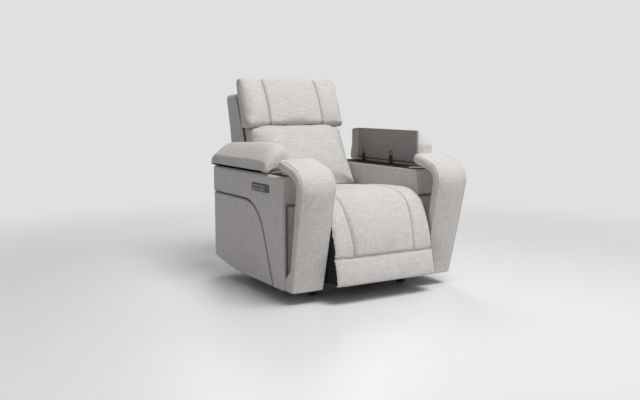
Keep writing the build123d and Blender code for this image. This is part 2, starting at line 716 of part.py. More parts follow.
def across(half, stations):
    """Places across a pad from side to side, each with its puff, from stations given for one half."""
    rising = [(-half + inset, puff) for inset, puff in stations]
    falling = [(half - inset, puff) for inset, puff in reversed(stations) if inset < half]
    return rising + falling


def pad_sections(stations, outline):
    """Closed sections of a pad, one at each place across, drawn by its outline at that puff."""
    sections = []
    for x, puff in stations:
        with BuildSketch(side_plane(x)) as section:
            with BuildLine():
                outline(puff)
            make_face()
        sections.append(section.sketch)
    return sections


SEAT_UNDER = WEB_TOP + FIT
split_run = Vector(SPLIT_TOP[0] - SPLIT_FOOT_DEPTH, SPLIT_TOP[1] - SEAT_UNDER).normalized()
split_normal = Vector(-split_run.Y, split_run.X)


def split_point(out, below=0.0):
    """A point on the plane between seat and footrest, out from the seam line and below the plane."""
    point = Vector(*SPLIT_TOP) + split_run * out + split_normal * below
    return (point.X, point.Y)


def split_foot(below=0.0):
    """The inner lower end of that plane."""
    point = Vector(SPLIT_FOOT_DEPTH, SEAT_UNDER) + split_normal * below
    return (point.X, point.Y)


def seat_outline(puff):
    crown = (SEAT_CROWN[0], SEAT_CROWN[1] + puff)
    rear_top = (SEAT_REAR, SEAT_REAR_TOP + puff)
    saddle = ((SEAT_CROWN[0] + SEAT_REAR) / 2, (SEAT_CROWN[1] + SEAT_REAR_TOP) / 2 + puff + SEAT_SADDLE)
    brow = (SEAT_BROW[0] + puff * split_run.X / 2, SEAT_BROW[1] + puff)
    Polyline(split_point(puff), split_foot(), (SEAT_REAR, SEAT_UNDER), rear_top)
    ThreePointArc(rear_top, saddle, crown)
    ThreePointArc(crown, brow, split_point(puff))


with BuildPart() as seat_cushion:
    loft(pad_sections(across(SEAT_HALF, SEAT_STATIONS), seat_outline))
save(seat_cushion.part, "seat_cushion")


def board_line(height):
    """Depth of the footrest board's front face at a height."""
    top_depth, top_height = split_foot(SPLIT_GAP)
    share = (top_height - height) / (top_height - FOOTREST_TOE[1])
    return top_depth + (FOOTREST_BOARD_FOOT - top_depth) * share


def upper_pad_outline(puff):
    seam = (FOOTREST_SEAM_FRONT - puff, FOOTREST_SEAM_HEIGHT + SEAM_GAP / 2)
    bulge = (FOOTREST_BULGE[0] - puff, FOOTREST_BULGE[1] + puff / 2)
    Polyline(seam, (board_line(seam[1]), seam[1]), split_foot(SPLIT_GAP), split_point(puff, SPLIT_GAP))
    ThreePointArc(split_point(puff, SPLIT_GAP), bulge, seam)


def lower_pad_outline(puff):
    seam = (FOOTREST_SEAM_FRONT - puff, FOOTREST_SEAM_HEIGHT - SEAM_GAP / 2)
    toe = (FOOTREST_TOE[0] - puff, FOOTREST_TOE[1] + TOE_ROUND)
    sole = (FOOTREST_TOE[0] + TOE_ROUND, FOOTREST_TOE[1])
    shin = ((seam[0] + toe[0]) / 2 - TOE_ROUND / 4, (seam[1] + toe[1]) / 2)
    ThreePointArc(seam, shin, toe)
    Polyline(toe, sole, (board_line(sole[1]), sole[1]), (board_line(seam[1]), seam[1]), seam)


# Footrest: board, upper and lower pads, and its two pairs of links
with BuildPart() as footrest_upper_pad:
    loft(pad_sections(across(SEAT_HALF, SEAT_STATIONS), upper_pad_outline))
save(footrest_upper_pad.part, "footrest_upper_pad")

with BuildPart() as footrest_lower_pad:
    loft(pad_sections(across(SEAT_HALF, LOWER_STATIONS), lower_pad_outline))
save(footrest_lower_pad.part, "footrest_lower_pad")

with BuildPart() as footrest_board:
    with BuildSketch(side_plane(-FOOTREST_BOARD_HALF)):
        with BuildLine():
            top = split_foot(SPLIT_GAP)
            foot = (board_line(FOOTREST_TOE[1]), FOOTREST_TOE[1])
            rear_foot = (foot[0] + FOOTREST_BOARD, foot[1])
            rear_top = (top[0] + FOOTREST_BOARD, top[1])
            Polyline(top, foot, rear_foot, rear_top, close=True)
        make_face()
    extrude(amount=2 * FOOTREST_BOARD_HALF)
save(footrest_board.part, "footrest_board")

LIFT_LINK_OUT = SIDE_PLATE_INNER - PLATE_PLAY
REACH_LINK_OUT = LIFT_LINK_OUT - LINK_THICK - PLATE_PLAY


def link_bar(sign, outside, start, end):
    """A flat bar with round ends between two pivots."""
    with BuildSketch(side_plane(sign * (outside - LINK_THICK))) as bar:
        with BuildLine() as middle:
            Line(start, end)
        trace(middle.line, line_width=LINK_WIDTH)
        with Locations(start, end):
            Circle(LINK_WIDTH / 2)
    extrude(bar.sketch, amount=sign * LINK_THICK)


with BuildPart() as lift_links:
    for _, sign in SIDES:
        link_bar(sign, LIFT_LINK_OUT, LINK_ANCHOR, LINK_ELBOW)
        rod(LINK_STUD, (sign * LIFT_LINK_OUT, sign * PLATE_OUT), *LINK_ANCHOR)
        elbow_hole = (sign * (LIFT_LINK_OUT - LINK_THICK), sign * LIFT_LINK_OUT)
        rod(LINK_STUD + PIN_PLAY, elbow_hole, *LINK_ELBOW, mode=Mode.SUBTRACT)
save(lift_links.part, "footrest_lift_links")

with BuildPart() as reach_links:
    for _, sign in SIDES:
        link_bar(sign, REACH_LINK_OUT, LINK_ELBOW, LINK_TOE)
        rod(LINK_STUD, (sign * REACH_LINK_OUT, sign * LIFT_LINK_OUT), *LINK_ELBOW)
save(reach_links.part, "footrest_reach_links")

# Drives of the footrest and the recline: motor, rail and carriage each
DRIVES = (
    ("footrest", -DRIVE_HALF_PITCH, FOOTREST_CARRIAGE_DEPTH),
    ("recline", DRIVE_HALF_PITCH, RECLINE_CARRIAGE_DEPTH),
)
RAIL_CREST = DRIVE_BASE + DRIVE_RAIL_HEIGHT
for name, middle, carriage_depth in DRIVES:
    rail_span = (middle - DRIVE_RAIL_WIDTH / 2, middle + DRIVE_RAIL_WIDTH / 2)
    with BuildPart() as drive_rail:
        block(rail_span, (DRIVE_RAIL_START, DRIVE_RAIL_END), (DRIVE_BASE, RAIL_CREST))
        fillet(drive_rail.edges().filter_by(Axis.Y), DRIVE_RAIL_WIDTH / 10)
    save(drive_rail.part, f"{name}_drive_rail")

    with BuildPart() as motor:
        block(
            (middle - MOTOR_WIDTH / 2, middle + MOTOR_WIDTH / 2),
            (DRIVE_RAIL_END - MOTOR_LENGTH, DRIVE_RAIL_END),
            (RAIL_CREST, RAIL_CREST + MOTOR_HEIGHT),
        )
        fillet(motor.edges().filter_by(Axis.Y), MOTOR_HEIGHT / 8)
        can = Plane(
            origin=(middle, FRONT + DRIVE_RAIL_END - MOTOR_LENGTH, RAIL_CREST + MOTOR_HEIGHT / 2),
            z_dir=(0, -1, 0),
        )
        with BuildSketch(can):
            Circle(MOTOR_CAN_RADIUS)
        extrude(amount=MOTOR_CAN_LENGTH)
    save(motor.part, f"{name}_motor")

    with BuildPart() as carriage:
        half = DRIVE_RAIL_WIDTH / 2 + CARRIAGE_PLAY + CARRIAGE_WALL
        span = (carriage_depth, carriage_depth + CARRIAGE_LENGTH)
        roof = RAIL_CREST + CARRIAGE_PLAY
        block((middle - half, middle + half), span, (DRIVE_BASE, roof + CARRIAGE_WALL))
        inner = DRIVE_RAIL_WIDTH / 2 + CARRIAGE_PLAY
        block((middle - inner, middle + inner), span, (DRIVE_BASE, roof), mode=Mode.SUBTRACT)
    save(carriage.part, f"{name}_carriage")


def shell_rear(height):
    """Depth of the back shell's rear face at a height."""
    slope = (SHELL_REAR_HIGH[0] - SHELL_REAR_LOW[0]) / (SHELL_REAR_HIGH[1] - SHELL_REAR_LOW[1])
    return SHELL_REAR_LOW[0] + (height - SHELL_REAR_LOW[1]) * slope


def leaning_slab(half, front, back, low, high):
    """A slab in the back's leaning plane, from one distance in front of that plane to another."""
    with BuildSketch(side_plane(-half)) as slab:
        with BuildLine():
            Polyline(
                (back_line(low, front), low),
                (back_line(low, back), low),
                (back_line(high, back), high),
                (back_line(high, front), high),
                close=True,
            )
        make_face()
    return slab.sketch


def cushion_outline(puff):
    rear = BACK_BOARD + FIT
    lumbar = (CUSHION_LUMBAR[0] - puff, CUSHION_LUMBAR[1] + puff / 2)
    shoulder = (CUSHION_SHOULDER[0] - puff, CUSHION_SHOULDER[1])
    brow = (CUSHION_SHOULDER[0] + CUSHION_ROUND, CUSHION_TOP)
    foot = (CUSHION_FOOT[0], CUSHION_FOOT[1])
    ThreePointArc(foot, lumbar, shoulder)
    rear_top = (back_line(CUSHION_TOP, rear), CUSHION_TOP)
    rear_foot = (back_line(foot[1], rear), foot[1])
    Polyline(shoulder, brow, rear_top, rear_foot, foot)


# Back: board, hollow shell, cushion and recline brackets with their pins
head_rod_plane = Plane(
    origin=(0, FRONT + back_line(HEAD_ROD_HEIGHT), HEAD_ROD_HEIGHT),
    x_dir=(1, 0, 0),
    z_dir=(0, -cos(radians(BACK_LEAN)), sin(radians(BACK_LEAN))),
)
with BuildPart() as back_board:
    board_slab = leaning_slab(BACK_BOARD_HALF, BACK_BOARD, 0, BACK_BOARD_BOTTOM, BACK_BOARD_TOP)
    extrude(board_slab, amount=2 * BACK_BOARD_HALF)
    with BuildSketch(head_rod_plane):
        Circle(HEAD_ROD + FIT)
    extrude(amount=2 * BACK_BOARD, both=True, mode=Mode.SUBTRACT)
save(back_board.part, "back_board")

with BuildPart() as back_shell:
    with BuildSketch(side_plane(-SHELL_HALF)):
        with BuildLine():
            Polyline(
                (back_line(SHELL_BOTTOM), SHELL_BOTTOM),
                (shell_rear(SHELL_BOTTOM), SHELL_BOTTOM),
                (shell_rear(SHELL_TOP), SHELL_TOP),
                (back_line(SHELL_TOP), SHELL_TOP),
                close=True,
            )
        make_face()
    extrude(amount=2 * SHELL_HALF)
    fillet(back_shell.faces().sort_by(Axis.Z)[-1].edges().filter_by(Axis.Y), SHELL_CORNER)
    fillet(back_shell.faces().sort_by(Axis.Y)[-1].edges(), SHELL_WALL)
    with BuildSketch(side_plane(-SHELL_HALF + SHELL_WALL)):
        with BuildLine():
            Polyline(
                (back_line(0, SHELL_WALL), 0),
                (shell_rear(0) - SHELL_WALL, 0),
                (shell_rear(SHELL_TOP - SHELL_WALL) - SHELL_WALL, SHELL_TOP - SHELL_WALL),
                (back_line(SHELL_TOP - SHELL_WALL, SHELL_WALL), SHELL_TOP - SHELL_WALL),
                close=True,
            )
        make_face()
    extrude(amount=2 * (SHELL_HALF - SHELL_WALL), mode=Mode.SUBTRACT)
    with BuildSketch(side_plane(-SKIRT_HALF)):
        with BuildLine():
            skirt_top = SHELL_BOTTOM + SHELL_WALL
            Polyline(
                (shell_rear(SKIRT_BOTTOM) - SHELL_WALL, SKIRT_BOTTOM),
                (shell_rear(SKIRT_BOTTOM), SKIRT_BOTTOM),
                (shell_rear(skirt_top), skirt_top),
                (shell_rear(skirt_top) - SHELL_WALL, skirt_top),
                close=True,
            )
        make_face()
    extrude(amount=2 * SKIRT_HALF)
save(back_shell.part, "back_shell")

with BuildPart() as back_cushion:
    loft(pad_sections(across(BACK_HALF, BACK_STATIONS), cushion_outline))
save(back_cushion.part, "back_cushion")

with BuildPart() as recline_brackets:
    for _, sign in SIDES:
        with BuildSketch(side_plane(sign * BACK_BOARD_HALF)) as bracket:
            with Locations(RECLINE_PIVOT):
                Circle(RECLINE_EAR)
            with BuildLine():
                Polyline(
                    (RECLINE_PIVOT[0], RECLINE_PIVOT[1] - RECLINE_EAR),
                    (back_line(BRACKET_LOW), BRACKET_LOW),
                    (back_line(BRACKET_HIGH), BRACKET_HIGH),
                    (RECLINE_PIVOT[0], RECLINE_PIVOT[1] + RECLINE_EAR),
                    close=True,
                )
            make_face()
        extrude(bracket.sketch, amount=sign * RECLINE_BRACKET)
        rod(RECLINE_PIN, (sign * BACK_BOARD_HALF, sign * (PLATE_OUT + RECLINE_BRACKET / 2)), *RECLINE_PIVOT)
save(recline_brackets.part, "recline_brackets")


def head_outline(puff):
    rear = BACK_BOARD + HEAD_PLATE_GAP + HEAD_PLATE + FIT
    chin = (HEAD_FRONT_LOW - puff, HEAD_BOTTOM + HEAD_CORNER)
    brow = (HEAD_FRONT_HIGH - puff, HEAD_TOP - HEAD_CORNER)
    face = ((chin[0] + brow[0]) / 2 - HEAD_BULGE, (chin[1] + brow[1]) / 2)
    crest = HEAD_TOP + puff / 2
    ThreePointArc(chin, face, brow)
    ThreePointArc(brow, ((brow[0] + HEAD_TOP_BACK) / 2, crest), (HEAD_TOP_BACK, HEAD_TOP - HEAD_CORNER))
    Polyline(
        (HEAD_TOP_BACK, HEAD_TOP - HEAD_CORNER),
        (back_line(HEAD_PLATE_TOP, rear), HEAD_PLATE_TOP),
        (back_line(HEAD_BOTTOM, rear), HEAD_BOTTOM),
        (HEAD_FRONT_LOW + HEAD_CORNER, HEAD_BOTTOM),
        chin,
    )


# Headrest: pad, bracket with its hinge pins, fixed lugs, motor and push rod
with BuildPart() as headrest_pad:
    loft(pad_sections(across(HEAD_HALF, HEAD_STATIONS), head_outline))
save(headrest_pad.part, "headrest_pad")

HEAD_PLATE_FRONT = BACK_BOARD + HEAD_PLATE_GAP + HEAD_PLATE
HEAD_PLATE_BACK = BACK_BOARD + HEAD_PLATE_GAP
FIXED_LUG, MOVING_LUG = HEAD_LUG_STARTS
with BuildPart() as headrest_bracket:
    plate_limits = (HEAD_PLATE_FRONT, HEAD_PLATE_BACK, HEAD_BOTTOM, HEAD_PLATE_TOP)
    plate_slab = leaning_slab(HEAD_PLATE_HALF, *plate_limits)
    extrude(plate_slab, amount=2 * HEAD_PLATE_HALF)
    for _, sign in SIDES:
        with BuildSketch(side_plane(sign * MOVING_LUG)) as lug:
            with Locations(HEAD_PIVOT):
                Circle(HEAD_KNUCKLE)
            with BuildLine():
                low = HEAD_PIVOT[1] - HEAD_KNUCKLE
                high = HEAD_PIVOT[1] + HEAD_KNUCKLE
                Polyline(
                    (HEAD_PIVOT[0], low),
                    (back_line(low, HEAD_PLATE_BACK), low),
                    (back_line(HEAD_BOTTOM + HEAD_CORNER, HEAD_PLATE_BACK), HEAD_BOTTOM + HEAD_CORNER),
                    (back_line(HEAD_BOTTOM + HEAD_CORNER, HEAD_PLATE_FRONT), HEAD_BOTTOM + HEAD_CORNER),
                    (back_line(high, HEAD_PLATE_FRONT), high),
                    (HEAD_PIVOT[0], high),
                    close=True,
                )
            make_face()
        extrude(lug.sketch, amount=sign * HEAD_LUG)
        rod(HEAD_PIN, (sign * FIXED_LUG, sign * (MOVING_LUG + HEAD_LUG)), *HEAD_PIVOT)
save(headrest_bracket.part, "headrest_bracket")

with BuildPart() as headrest_lugs:
    for _, sign in SIDES:
        with BuildSketch(side_plane(sign * FIXED_LUG)) as lug:
            with Locations(HEAD_PIVOT):
                Circle(HEAD_KNUCKLE)
            with BuildLine():
                Polyline(
                    (HEAD_PIVOT[0], HEAD_PIVOT[1] - HEAD_KNUCKLE),
                    (back_line(HEAD_PIVOT[1] - HEAD_KNUCKLE, BACK_BOARD), HEAD_PIVOT[1] - HEAD_KNUCKLE),
                    (back_line(HEAD_PIVOT[1] + HEAD_KNUCKLE, BACK_BOARD), HEAD_PIVOT[1] + HEAD_KNUCKLE),
                    (HEAD_PIVOT[0], HEAD_PIVOT[1] + HEAD_KNUCKLE),
                    close=True,
                )
            make_face()
            with Locations(HEAD_PIVOT):
                Circle(HEAD_PIN + HINGE_PIN_PLAY, mode=Mode.SUBTRACT)
        extrude(lug.sketch, amount=sign * HEAD_LUG)
save(headrest_lugs.part, "headrest_lugs")

with BuildPart() as headrest_motor:
    motor_half = HEAD_MOTOR_WIDTH / 2
    motor_limits = (0, -HEAD_MOTOR_LENGTH, HEAD_ROD_HEIGHT - motor_half, HEAD_ROD_HEIGHT + motor_half)
    motor_slab = leaning_slab(motor_half, *motor_limits)
    extrude(motor_slab, amount=HEAD_MOTOR_WIDTH)
    with BuildSketch(head_rod_plane):
        Circle(HEAD_ROD + FIT)
    extrude(amount=-2 * HEAD_MOTOR_LENGTH, mode=Mode.SUBTRACT)
save(headrest_motor.part, "headrest_motor")

with BuildPart() as headrest_rod:
    with BuildSketch(head_rod_plane.offset(HEAD_PLATE_BACK - PLATE_PLAY)):
        Circle(HEAD_ROD)
    extrude(amount=-HEAD_ROD_LENGTH)
save(headrest_rod.part, "headrest_rod")
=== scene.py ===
import json
import math

import bpy
import numpy as np
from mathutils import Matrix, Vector
from mathutils.bvhtree import BVHTree


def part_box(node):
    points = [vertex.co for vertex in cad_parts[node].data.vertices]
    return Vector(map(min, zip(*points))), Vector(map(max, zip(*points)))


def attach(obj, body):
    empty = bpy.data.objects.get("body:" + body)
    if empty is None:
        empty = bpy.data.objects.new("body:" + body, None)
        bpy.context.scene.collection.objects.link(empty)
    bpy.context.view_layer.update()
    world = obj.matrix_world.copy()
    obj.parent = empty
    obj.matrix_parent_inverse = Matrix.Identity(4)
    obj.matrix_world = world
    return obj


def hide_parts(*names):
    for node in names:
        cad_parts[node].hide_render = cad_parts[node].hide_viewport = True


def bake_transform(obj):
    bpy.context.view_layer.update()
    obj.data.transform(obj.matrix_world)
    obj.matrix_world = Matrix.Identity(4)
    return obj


# Looks of a power recliner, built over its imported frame. Metres, +X the sitter's left, +Y back, +Z up.
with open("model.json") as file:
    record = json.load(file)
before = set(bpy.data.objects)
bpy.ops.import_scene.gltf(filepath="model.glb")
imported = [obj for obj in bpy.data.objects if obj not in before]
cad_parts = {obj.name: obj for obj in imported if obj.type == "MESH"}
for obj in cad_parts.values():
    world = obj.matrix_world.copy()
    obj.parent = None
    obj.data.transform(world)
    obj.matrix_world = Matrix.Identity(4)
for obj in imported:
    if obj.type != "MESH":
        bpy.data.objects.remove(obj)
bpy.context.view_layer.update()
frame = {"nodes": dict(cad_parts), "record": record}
nodes = frame["nodes"]
SIDES = (("right", -1), ("left", 1))

# Camera, fitted to the photograph's view: place, angles in degrees, lens and sensor in millimetres
CAMERA_PLACE = (-2.1387, -3.4815, 0.9297)
CAMERA_YAW = 31.05
CAMERA_PITCH = 7.2
CAMERA_LENS = 43.68
CAMERA_SENSOR = 36.0

# Cloth covers: mesh sizes, rounds of smoothing, and the pressure that swells them
VOXEL = 0.006
PANEL_VOXEL = 0.005
PAD_ROUNDS = 6
SMALL_PAD_ROUNDS = 5
PANEL_ROUNDS = 4
FRAME_ROUNDS = 3
CLOTH_FRAMES = 20
CLOTH_PRESSURE = 8.0
CLOTH_QUALITY = 2
CLOTH_MASS = 0.05
CLOTH_STIFFNESS = {"tension": 5, "compression": 5, "shear": 2, "bending": 0.3}
MERGE_DISTANCE = 1e-5
TINY = 1e-9

# Covers are held still near their seams, and where they face further down or back than this
PIN_REACH = 0.007
UNDERSIDE_FACING = -0.3
LID_HELD_FACING = -0.6
REAR_FACING = 0.5
BACK_HELD_FACING = 0.3

# How far each cover may swell
SWELL = {"seat": 0.022, "back": 0.022, "headrest": 0.018, "lid": 0.008, "hook": 0.012}

# Grooves along seams and joins: depth, width, and the strength of the painted shade in them
JOIN_REACH = 0.009
GROOVES = {
    "seat": (0.006, 0.009, 0.5),
    "cross": (0.006, 0.006, 0.9),
    "headrest": (0.007, 0.009, 0.7),
    "lid": (0.002, 0.006, 0.2),
    # Joins get no groove, only painted shade
    "join": (0.0, 2 * JOIN_REACH, 1.0),
}

# Seat and footrest: the lengthwise seams' distance from the middle, and the cross seam's depth and height
SEAT_SEAM_TOP = 0.188
SEAT_SEAM_LOW = 0.172
SEAT_SEAM_TOP_HEIGHT = 0.47
CROSS_SEAM = (-0.538, 0.216)
CROSS_SEAM_FADE = (0.04, 0.08)

# Headrest: its seams, and how its lower edge hangs over the back
HEAD_SEAM = 0.167
HEAD_DROP = 0.003
HEAD_SIDE_DROP = 0.012
HEAD_LIP = 0.012
HEAD_LIP_REACH = 0.06
HEAD_WIDENING = 1.03

# Back cushion: a point and the slope of its rear face, where its sides round off, and how its top rises
BACK_PLANE = (0.397, 0.715)
BACK_SLOPE = 0.329
BACK_ROUND_START = 0.16
BACK_ROUND_LOW = 0.52
BACK_ROUND_THICK = (0.015, 0.05)
BACK_ROUNDS = 90
BACK_RISE = 0.013
BACK_RISE_START = 0.70
BACK_FULL_HALF = 0.284

# Back shell: how much wider and fuller it gets towards its top, above the lids
SHELL_WIDENING = 0.03
SHELL_FULLNESS = (0, 0.010, 0.008)
LID_CLEAR_HEIGHT = 0.73

# Lids, measured from their hinge lines: inward across the lid and up from it when it is shut
HINGE_OUT = 0.451
HINGE_HEIGHT = 0.622
LID_SEAT = -0.017
LID_MIDDLE = 0.069
LID_HALF = 0.085
LID_INNER = 0.157

# Lid pads as the CAD has them, by shares of their length from front to rear
LID_ALONG = (0.0, 0.04, 0.13, 0.5, 0.82, 0.95, 1.0)
LID_RISE = (0.4, 0.64, 0.86, 0.97, 1.0, 0.78, 0.45)
LID_FLANK = 0.050
LID_CROWN = 0.108

# Lid pads filled out: crease, crown, rounded nose, and the skirt that wraps over the board
LID_FULL = (0.70, 0.94, 1.04, 1.03, 0.94, 0.74, 0.42)
LID_FULL_CROWN = 0.118
LID_CREASE = 0.036
LID_EASE = 1.2
LID_NOSE = 0.055
LID_NOSE_REACH = 0.2
LID_SKIRT = 0.045
LID_DROP = 0.014
LID_WRAP = 0.014
LID_TUCK = 0.0295
LID_ARCH = 0.034
LID_ARCH_REACH = 0.03
LID_RIM_FACING = (-0.9, -0.3)

# Bands in front of the arms, as depth behind the arm's front and height
ARM_FRONT = -0.380
HOOK_FOOT = (-0.052, 0.058)
HOOK_KNEE = (-0.168, 0.595)
HOOK_TIP = (0.022, 0.648)
HOOK_BEND = 0.070
HOOK_THICK = 0.045
HOOK_HELD_HEIGHT = 0.13
HOOK_SWELL = 0.016
HOOK_FOOT_SWELL = 0.004
HOOK_SWELL_SHARES = (0, 1, 0.4)
HOOK_SWELL_FACING = 0.6
HOOK_SPREAD = {"inner": 0.004, "outer": 0.012}
HOOK_MIDDLE_HEIGHT = 0.30

# Piped edges of the bands, and the steps in which they follow each run
WELT_RADIUS = 0.0028
WELT_INSET = 0.004
LOWER_STEPS = 10
BEND_STEPS = 12
UPPER_STEPS = 4

# Arm panels, the black deck lining, and black sheets over the footrest's lower sides
PANELS = ("side_yoke", "side_panel", "front_panel")
LINER_THICK = 0.002
LINER_ROUNDS = 5
DECK_LEVEL = 0.575
DECK_FACING = 0.6
FOOTREST_BLACK_TOP = 0.42
FOOTREST_BLACK_FACING = 0.7

# Linen: spacing of its weave, and repeats per metre along and across its yarns and slubs
WAVE_REPEAT = math.pi / 10
THREAD_PITCH = 0.0016
YARN = (110.0, 420.0)
YARN_SHARE = 0.28
SLUB = (16.0, 130.0)
SLUB_SHARE = 0.22

# Studio: colours, the distances over which the floor fades out, and the strength of the room's light
FLOOR_COLOUR = (0.80, 0.80, 0.81)
FLOOR_HAZE = 0.97
BACKDROP_COLOUR = (0.745, 0.745, 0.75)
FLOOR_HALF = 40.0
FADE_START = 1.2
FADE_END = 3.6
ROOM_STRENGTH = 0.31

# Place, aim, width and power of each lamp
LAMPS = {
    "key": ((0.4, -2.2, 4.4), (0, 0, 0.4), 2.6, 196),
    "fill": ((-3.4, -2.6, 1.8), (0, 0, 0.5), 3.0, 2),
    "rim": ((1.5, 3.2, 3.2), (0, 0, 0.6), 2.5, 60),
}


class Value:
    """A shader socket that can be used in sums, so that shader maths reads as plain expressions."""

    def __init__(self, graph, socket):
        self.graph = graph
        self.socket = socket

    def maths(self, operation, first, second):
        return self.graph.node("Math", {"operation": operation}, {0: first, 1: second})

    def __add__(self, other):
        return self.maths("ADD", self, other)

    def __radd__(self, other):
        return self.maths("ADD", other, self)

    def __rsub__(self, other):
        return self.maths("SUBTRACT", other, self)

    def __mul__(self, other):
        return self.maths("MULTIPLY", self, other)

    def __pow__(self, other):
        return self.maths("POWER", self, other)


class Graph:
    """A node tree under construction."""

    def __init__(self, tree):
        self.tree = tree

    def node(self, kind, settings, sockets, output=0):
        """Makes a node of this type, sets it up, fills its sockets and hands back one of its outputs."""
        made = self.tree.nodes.new("ShaderNode" + kind)
        for key, value in settings.items():
            setattr(made, key, value)
        for key, value in sockets.items():
            self.feed(made.inputs[key], value)
        return Value(self, made.outputs[output])

    def feed(self, socket, value):
        """Links a value to a socket, or sets the socket to a plain number or colour."""
        if isinstance(value, Value):
            self.tree.links.new(value.socket, socket)
        elif isinstance(value, tuple) and len(value) == 3 and socket.type == "RGBA":
            socket.default_value = (*value, 1)
        else:
            socket.default_value = value


class Finish(Graph):
    """A material under construction: its node tree, its surface shader and its object coordinates."""

    def __init__(self, name):
        self.material = bpy.data.materials.new(name)
        self.material.use_nodes = True
        super().__init__(self.material.node_tree)
        self.shader = self.tree.nodes["Principled BSDF"]
        self.place = self.node("TexCoord", {}, {}, "Object")

    def set(self, **sockets):
        """Feeds inputs of the surface shader, named with underscores for spaces."""
        for key, value in sockets.items():
            self.feed(self.shader.inputs[key.replace("_", " ")], value)

    def noise(self, scale, detail, place=None):
        sockets = {"Vector": place or self.place, "Scale": scale, "Detail": detail}
        return self.node("TexNoise", {}, sockets)

    def stretched(self, scale):
        """Object coordinates scaled apart along the three axes."""
        return self.node("Mapping", {}, {"Vector": self.place, "Scale": scale})

    def attribute(self, name):
        return self.node("Attribute", {"attribute_name": name}, {}, "Fac")

    def mix(self, share, first, second):
        """Colour between the first and the second, by a share from 0 to 1."""
        return self.node("Mix", {"data_type": "RGBA"}, {0: share, 6: first, 7: second}, 2)

    def bump(self, height, strength, distance):
        sockets = {"Height": height, "Strength": strength, "Distance": distance}
        self.set(Normal=self.node("Bump", {}, sockets))
        return self


def tinted(colour, factor, lift=0.0):
    """The same colour made lighter or darker."""
    return tuple(min(1.0, part * factor + lift) for part in colour)


def threads(finish):
    """Height of a plain weave, from waves along the three axes, 0 to 1."""
    scale = WAVE_REPEAT / THREAD_PITCH
    sockets = {"Vector": finish.place, "Scale": scale, "Distortion": 1.5, "Detail": 1.0}
    total = None
    for axis in ("X", "Y", "Z"):
        wave = finish.node("TexWave", {"bands_direction": axis}, sockets, "Fac")
        total = wave if total is None else total + wave
    return total * (1 / 3)


def strands(finish, along, across):
    """Noise drawn out along the threads that run across the cloth and up it, added together."""
    level = finish.noise(1.0, 2.0, finish.stretched((along, across, across)))
    upright = finish.noise(1.0, 2.0, finish.stretched((across, across, along)))
    return level + upright


def linen(name, light, dark, painted_seam_colour):
    """Heathered linen-look cloth: woven, mottled by thick and thin yarns, with painted shade in its seams."""
    finish = Finish(name)
    weave = threads(finish)
    mottle = strands(finish, *YARN) * YARN_SHARE + strands(finish, *SLUB) * SLUB_SHARE
    tone = finish.node("MapRange", {}, {"Value": mottle, "From Min": 0.36, "From Max": 0.64})
    cloth = finish.mix(tone, dark, light)
    # Painted shade in the seams, by the seam attribute
    finish.set(Base_Color=finish.mix(finish.attribute("seam"), cloth, painted_seam_colour))
    finish.set(Roughness=0.94 - tone * 0.08, Sheen_Weight=0.25, Sheen_Roughness=0.5)
    finish.set(Specular_IOR_Level=0.25)
    return finish.bump(weave * 0.6 + mottle * 0.8, strength=0.55, distance=0.0012).material


def felted(name, light, dark):
    """Flat non-woven lining with a faint fibre pattern."""
    finish = Finish(name)
    fibre = finish.noise(scale=900.0, detail=3.0)
    patch = finish.noise(scale=25.0, detail=2.0)
    finish.set(Base_Color=finish.mix(fibre * 0.7 + patch * 0.3, dark, light))
    finish.set(Roughness=0.9 + fibre * 0.08, Specular_IOR_Level=0.2)
    return finish.bump(fibre, strength=0.35, distance=0.0006).material


def coated_metal(name, colour, rough):
    """Powder-coated steel with a fine orange-peel skin and slightly rubbed patches."""
    finish = Finish(name)
    peel = finish.noise(scale=700.0, detail=2.0)
    rubbed = finish.noise(scale=18.0, detail=4.0)
    worn = tinted(colour, 1.8, lift=0.01)
    finish.set(Base_Color=finish.mix(rubbed ** 2.0, colour, worn))
    finish.set(Roughness=rough + rubbed * 0.15, Metallic=0.2)
    return finish.bump(peel, strength=0.2, distance=0.0004).material


def bright_steel(name, colour, rough):
    """Bare or plated steel, brushed along its length."""
    finish = Finish(name)
    brush = finish.noise(1.0, 3.0, finish.stretched((40.0, 40.0, 1500.0)))
    cloud = finish.noise(scale=30.0, detail=2.0)
    finish.set(Base_Color=finish.mix(brush, tinted(colour, 0.82), colour), Metallic=1.0)
    finish.set(Roughness=rough + brush * 0.12 + cloud * 0.06)
    return finish.bump(brush, strength=0.12, distance=0.0003).material


def moulded(name, colour, rough):
    """Moulded plastic with a fine spark-eroded grain."""
    finish = Finish(name)
    grain = finish.noise(scale=1400.0, detail=2.0)
    cloud = finish.noise(scale=22.0, detail=2.0)
    lighter = tinted(colour, 1.25, lift=0.004)
    finish.set(Base_Color=finish.mix(cloud, colour, lighter))
    finish.set(Roughness=rough + grain * 0.12)
    return finish.bump(grain, strength=0.25, distance=0.0003).material


def plywood(name, light, dark):
    """Raw birch ply: long grain lines with a few darker veins."""
    finish = Finish(name)
    grain = finish.noise(1.0, 4.0, finish.stretched((18.0, 240.0, 240.0)))
    vein = finish.noise(1.0, 2.0, finish.stretched((5.0, 60.0, 60.0)))
    finish.set(Base_Color=finish.mix(grain * 0.6 + vein * 0.4, dark, light))
    finish.set(Roughness=0.62 + grain * 0.2)
    return finish.bump(grain, strength=0.2, distance=0.0005).material


